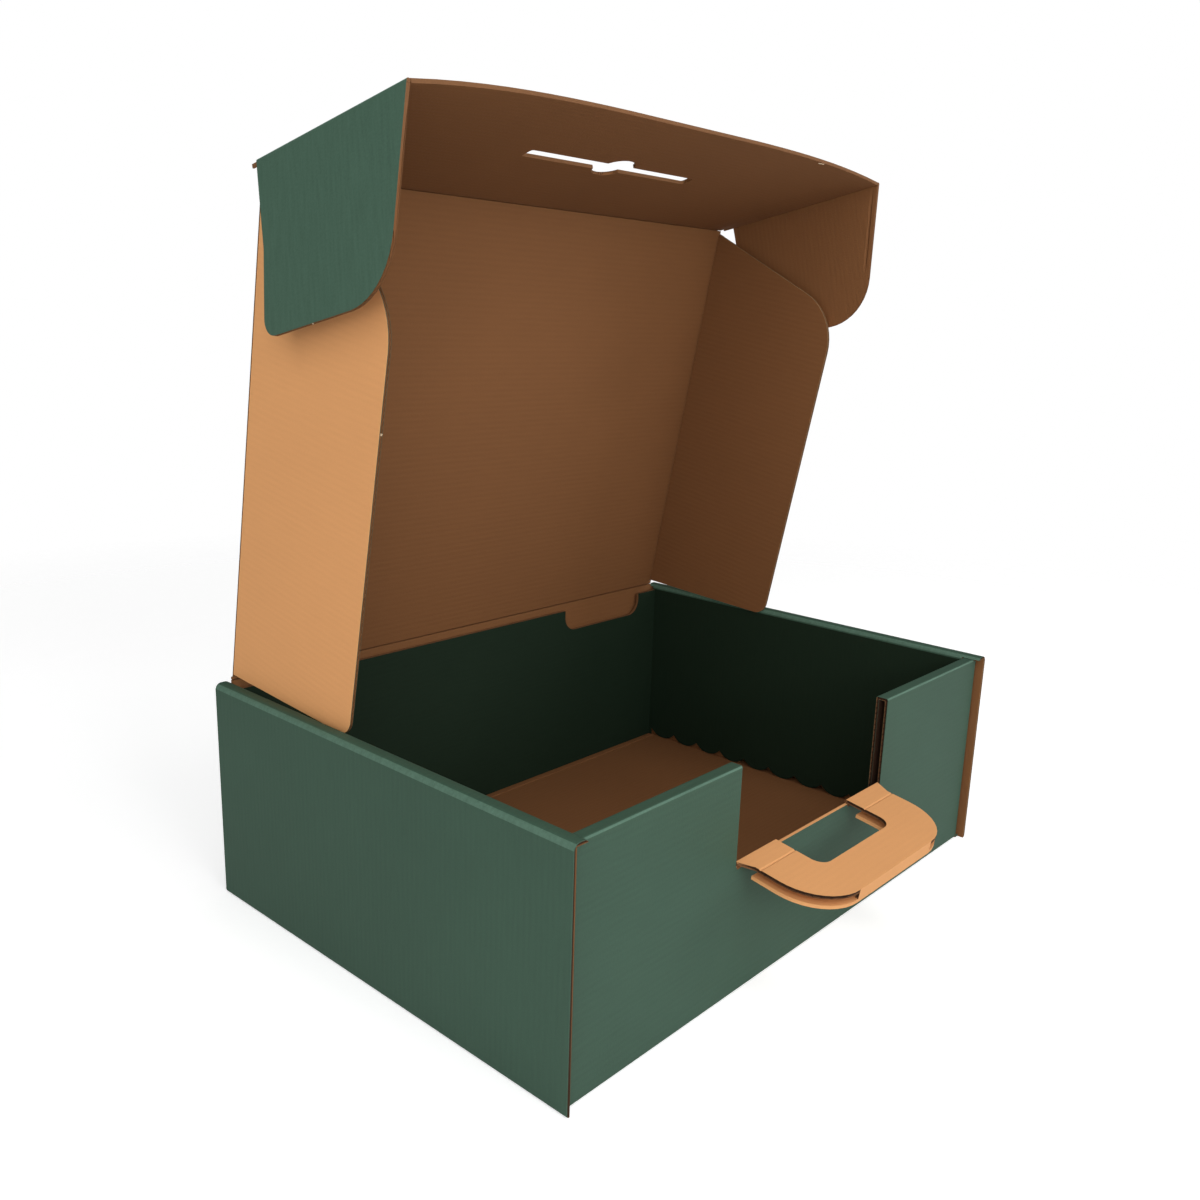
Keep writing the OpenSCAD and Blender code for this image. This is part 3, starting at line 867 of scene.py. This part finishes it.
class GIFTBOX_OT_tray(bpy.types.Operator):
    """Add the tray with its doubled walls"""

    bl_idname = "giftbox.tray"
    bl_label = "Tray"

    def execute(self, context):
        s = context.scene.gift_board
        extent = tray_extent()
        low, high, _ = extent
        inside_y = low.y + s.front_step + s.front_wall
        jamb_reach = NEAR_MIDDLE * (high.x - s.side_wall)

        def shown_end(f):
            c = f.calc_center_median()
            at_jamb = c.y < inside_y and abs(c.x) < jamb_reach and abs(f.normal.x) > FLAT
            return at_jamb or c.y < low.y + TOL

        def on_floor(f):
            return f.normal.z > FLAT and f.calc_center_median().z < 2 * s.board

        y = high.y - s.back_wall - FLOOR_CREASE
        size = (FLOOR_CREASE_WIDTH, FLOOR_CREASE_DEPTH)
        crease = (Matrix.Identity(4), (-high.x, y), (high.x, y), *size, 1, 0, on_floor)
        board_piece(
            "tray",
            lambda c, n: tray_kind(c, n, s, extent),
            None,
            shown_end,
            jamb_paths(s, extent),
            [crease],
        )
        return {"FINISHED"}


class GIFTBOX_OT_lid(bpy.types.Operator):
    """Add the lid's panel"""

    bl_idname = "giftbox.lid"
    bl_label = "Lid"

    def execute(self, context):
        m = panel_frames()["lid_panel"]
        board_piece("lid_panel", panel_rule(m, PRINT, INNER), m)
        return {"FINISHED"}


class GIFTBOX_OT_dust_flaps(bpy.types.Operator):
    """Add the two dust flaps"""

    bl_idname = "giftbox.dust_flaps"
    bl_label = "Dust flaps"

    def execute(self, context):
        for name in ("left_dust_flap", "right_dust_flap"):
            m = panel_frames()[name]
            board_piece(name, panel_rule(m, KRAFT, INNER), m, long_edge, deep=INNER)
        return {"FINISHED"}


class GIFTBOX_OT_front_flap(bpy.types.Operator):
    """Add the front flap with its handle slot"""

    bl_idname = "giftbox.front_flap"
    bl_label = "Front flap"

    def execute(self, context):
        m = panel_frames()["front_flap"]
        board_piece("front_flap", panel_rule(m, PRINT, INNER), m, long_edge, deep=INNER)
        return {"FINISHED"}


class GIFTBOX_OT_ears(bpy.types.Operator):
    """Add the two locking ears, the right one pinched"""

    bl_idname = "giftbox.ears"
    bl_label = "Ears"

    def execute(self, context):
        size = (CRUMPLE_WIDTH, CRUMPLE_DEPTH)
        # The ears' print is lightened: painted light
        for name, crumples in (("left_ear", ()), ("right_ear", CRUMPLES)):
            m = panel_frames()[name]
            board_piece(
                name,
                panel_rule(m, PRINT, INNER),
                m,
                long_edge,
                creases=[(m, a, b, *size, 1, CRUMPLE_FADE) for a, b in crumples],
                deep=INNER,
                lightening=EAR_PAINTED_LIGHT,
            )
        return {"FINISHED"}


class GIFTBOX_OT_handle(bpy.types.Operator):
    """Add the loop handle"""

    bl_idname = "giftbox.handle"
    bl_label = "Handle"

    def execute(self, context):
        s = context.scene.gift_board
        m = panel_frames()["carry_handle"]
        low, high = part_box("carry_handle")
        half = (high.x - low.x) / 2
        legs = (m, (-half, LEG_CREASE), (half, LEG_CREASE), LEG_CREASE_WIDTH, LEG_CREASE_DEPTH, 1)
        reach, back = m.col[1].to_3d(), m.inverted()
        panel_kind = panel_rule(m, KRAFT, KRAFT)

        def handle_kind(c, n):
            on_spine = abs(n.dot(reach)) > FLAT and c.y < low.y + 2 * s.board and abs(c.x) < half / 2
            return KRAFT if on_spine or (back @ c).z < HANDLE_SPLIT else panel_kind(c, n)

        board_piece("carry_handle", handle_kind, m, long_edge, creases=[legs])
        return {"FINISHED"}


# Stage


def floor_material(v):
    """Pale floor that glows a little for the camera and fades into the white with distance."""
    mat = bpy.data.materials.new("floor")
    mat.use_nodes = True
    tree = mat.node_tree
    shader = tree.nodes["Principled BSDF"]
    shader.inputs["Base Color"].default_value = v.floor
    shader.inputs["Roughness"].default_value = FLOOR_ROUGHNESS
    shader.inputs["Emission Color"].default_value = (1, 1, 1, 1)
    seen = add_node(tree, "ShaderNodeLightPath").outputs["Is Camera Ray"]
    glow = math_node(tree, "MULTIPLY", seen, v.floor_glow)
    tree.links.new(glow, shader.inputs["Emission Strength"])
    where = add_node(tree, "ShaderNodeTexCoord").outputs["Object"]
    away = add_node(tree, "ShaderNodeVectorMath", {0: where}, operation="LENGTH").outputs["Value"]
    fade = {"Value": away, "From Min": v.floor_clear, "From Max": v.floor_end}
    fade = add_node(tree, "ShaderNodeMapRange", fade)
    clear = add_node(tree, "ShaderNodeBsdfTransparent")
    mix = add_node(tree, "ShaderNodeMixShader", {0: math_node(tree, "MULTIPLY", seen, fade.outputs[0])})
    tree.links.new(shader.outputs[0], mix.inputs[1])
    tree.links.new(clear.outputs[0], mix.inputs[2])
    tree.links.new(mix.outputs[0], tree.nodes["Material Output"].inputs[0])
    return mat


def add_floor(v):
    """Square floor under the box."""
    r = FLOOR_HALF
    mesh = bpy.data.meshes.new("floor")
    mesh.from_pydata([(-r, -r, 0), (r, -r, 0), (r, r, 0), (-r, r, 0)], [], [(0, 1, 2, 3)])
    floor = bpy.data.objects.new("floor", mesh)
    bpy.context.scene.collection.objects.link(floor)
    mesh.materials.append(floor_material(v))


def area_light(name, at, size, power):
    """Round soft light that looks at the box."""
    data = bpy.data.lights.new(name, "AREA")
    data.shape = "DISK"
    data.size = size
    data.energy = power
    o = bpy.data.objects.new(name, data)
    bpy.context.scene.collection.objects.link(o)
    o.location = at
    o.rotation_euler = (Vector(AIM) - Vector(at)).to_track_quat("-Z", "Y").to_euler()


def add_world(v):
    """Even light from all sides, seen by the camera as plain white."""
    world = bpy.data.worlds.new("studio")
    bpy.context.scene.world = world
    world.use_nodes = True
    tree = world.node_tree
    tree.nodes.clear()
    even = add_node(tree, "ShaderNodeBackground", {"Color": (1, 1, 1, 1), "Strength": v.sky})
    white = add_node(tree, "ShaderNodeBackground", {"Color": (1, 1, 1, 1), "Strength": 1.0})
    path = add_node(tree, "ShaderNodeLightPath")
    mix = add_node(tree, "ShaderNodeMixShader", {0: path.outputs["Is Camera Ray"]})
    tree.links.new(even.outputs[0], mix.inputs[1])
    tree.links.new(white.outputs[0], mix.inputs[2])
    out = add_node(tree, "ShaderNodeOutputWorld")
    tree.links.new(mix.outputs[0], out.inputs[0])


def add_camera(v):
    """Camera at the photo's place."""
    camera = bpy.data.cameras.new("camera")
    camera.lens = v.lens
    camera.sensor_width = SENSOR
    o = bpy.data.objects.new("camera", camera)
    bpy.context.scene.collection.objects.link(o)
    yaw, pitch, roll = (math.radians(a) for a in (CAMERA_HEADING, CAMERA_DIP, CAMERA_ROLL))
    ahead = Vector((math.sin(yaw) * math.cos(pitch), math.cos(yaw) * math.cos(pitch), -math.sin(pitch)))
    level = Vector((math.cos(yaw), -math.sin(yaw), 0))
    above = level.cross(ahead)
    right = level * math.cos(roll) + above * math.sin(roll)
    up = above * math.cos(roll) - level * math.sin(roll)
    o.matrix_world = placed(Vector(CAMERA_PLACE), right, up, -ahead)
    bpy.context.scene.camera = o


class GIFTBOX_OT_stage(bpy.types.Operator):
    """Add the floor, the lights, the white background and the camera"""

    bl_idname = "giftbox.stage"
    bl_label = "Stage"

    def execute(self, context):
        v = context.scene.gift_stage
        add_floor(v)
        for name, at, size, share, power in LIGHTS:
            area_light(name, at, size, share * getattr(v, power))
        add_world(v)
        context.scene.view_settings.view_transform = "Standard"
        add_camera(v)
        return {"FINISHED"}


class GIFTBOX_PT_panel(bpy.types.Panel):
    """Lists the steps that build the gift box, and their values"""

    bl_idname = "GIFTBOX_PT_panel"
    bl_label = "Gift box"
    bl_space_type = "VIEW_3D"
    bl_region_type = "UI"
    bl_category = "Gift box"

    def draw(self, context):
        scene = context.scene
        for step in STEPS:
            self.layout.operator(step.bl_idname)
        for values in (scene.gift_board, scene.gift_colours, scene.gift_stage):
            for name in values.bl_rna.properties.keys():
                if name not in ("rna_type", "name"):
                    self.layout.prop(values, name)


STEPS = (
    GIFTBOX_OT_materials,
    GIFTBOX_OT_tray,
    GIFTBOX_OT_lid,
    GIFTBOX_OT_dust_flaps,
    GIFTBOX_OT_front_flap,
    GIFTBOX_OT_ears,
    GIFTBOX_OT_handle,
    GIFTBOX_OT_stage,
)
CLASSES = (BoardSizes, BoxColours, StageValues) + STEPS + (GIFTBOX_PT_panel,)


def register():
    for c in CLASSES:
        bpy.utils.register_class(c)
    bpy.types.Scene.gift_board = bpy.props.PointerProperty(type=BoardSizes)
    bpy.types.Scene.gift_colours = bpy.props.PointerProperty(type=BoxColours)
    bpy.types.Scene.gift_stage = bpy.props.PointerProperty(type=StageValues)


def unregister():
    del bpy.types.Scene.gift_board
    del bpy.types.Scene.gift_colours
    del bpy.types.Scene.gift_stage
    for c in reversed(CLASSES):
        bpy.utils.unregister_class(c)


def main():
    register()
    bpy.ops.giftbox.materials()
    bpy.ops.giftbox.tray()
    bpy.ops.giftbox.lid()
    bpy.ops.giftbox.dust_flaps()
    bpy.ops.giftbox.front_flap()
    bpy.ops.giftbox.ears()
    bpy.ops.giftbox.handle()
    bpy.ops.giftbox.stage()


if __name__ == "__main__":
    main()
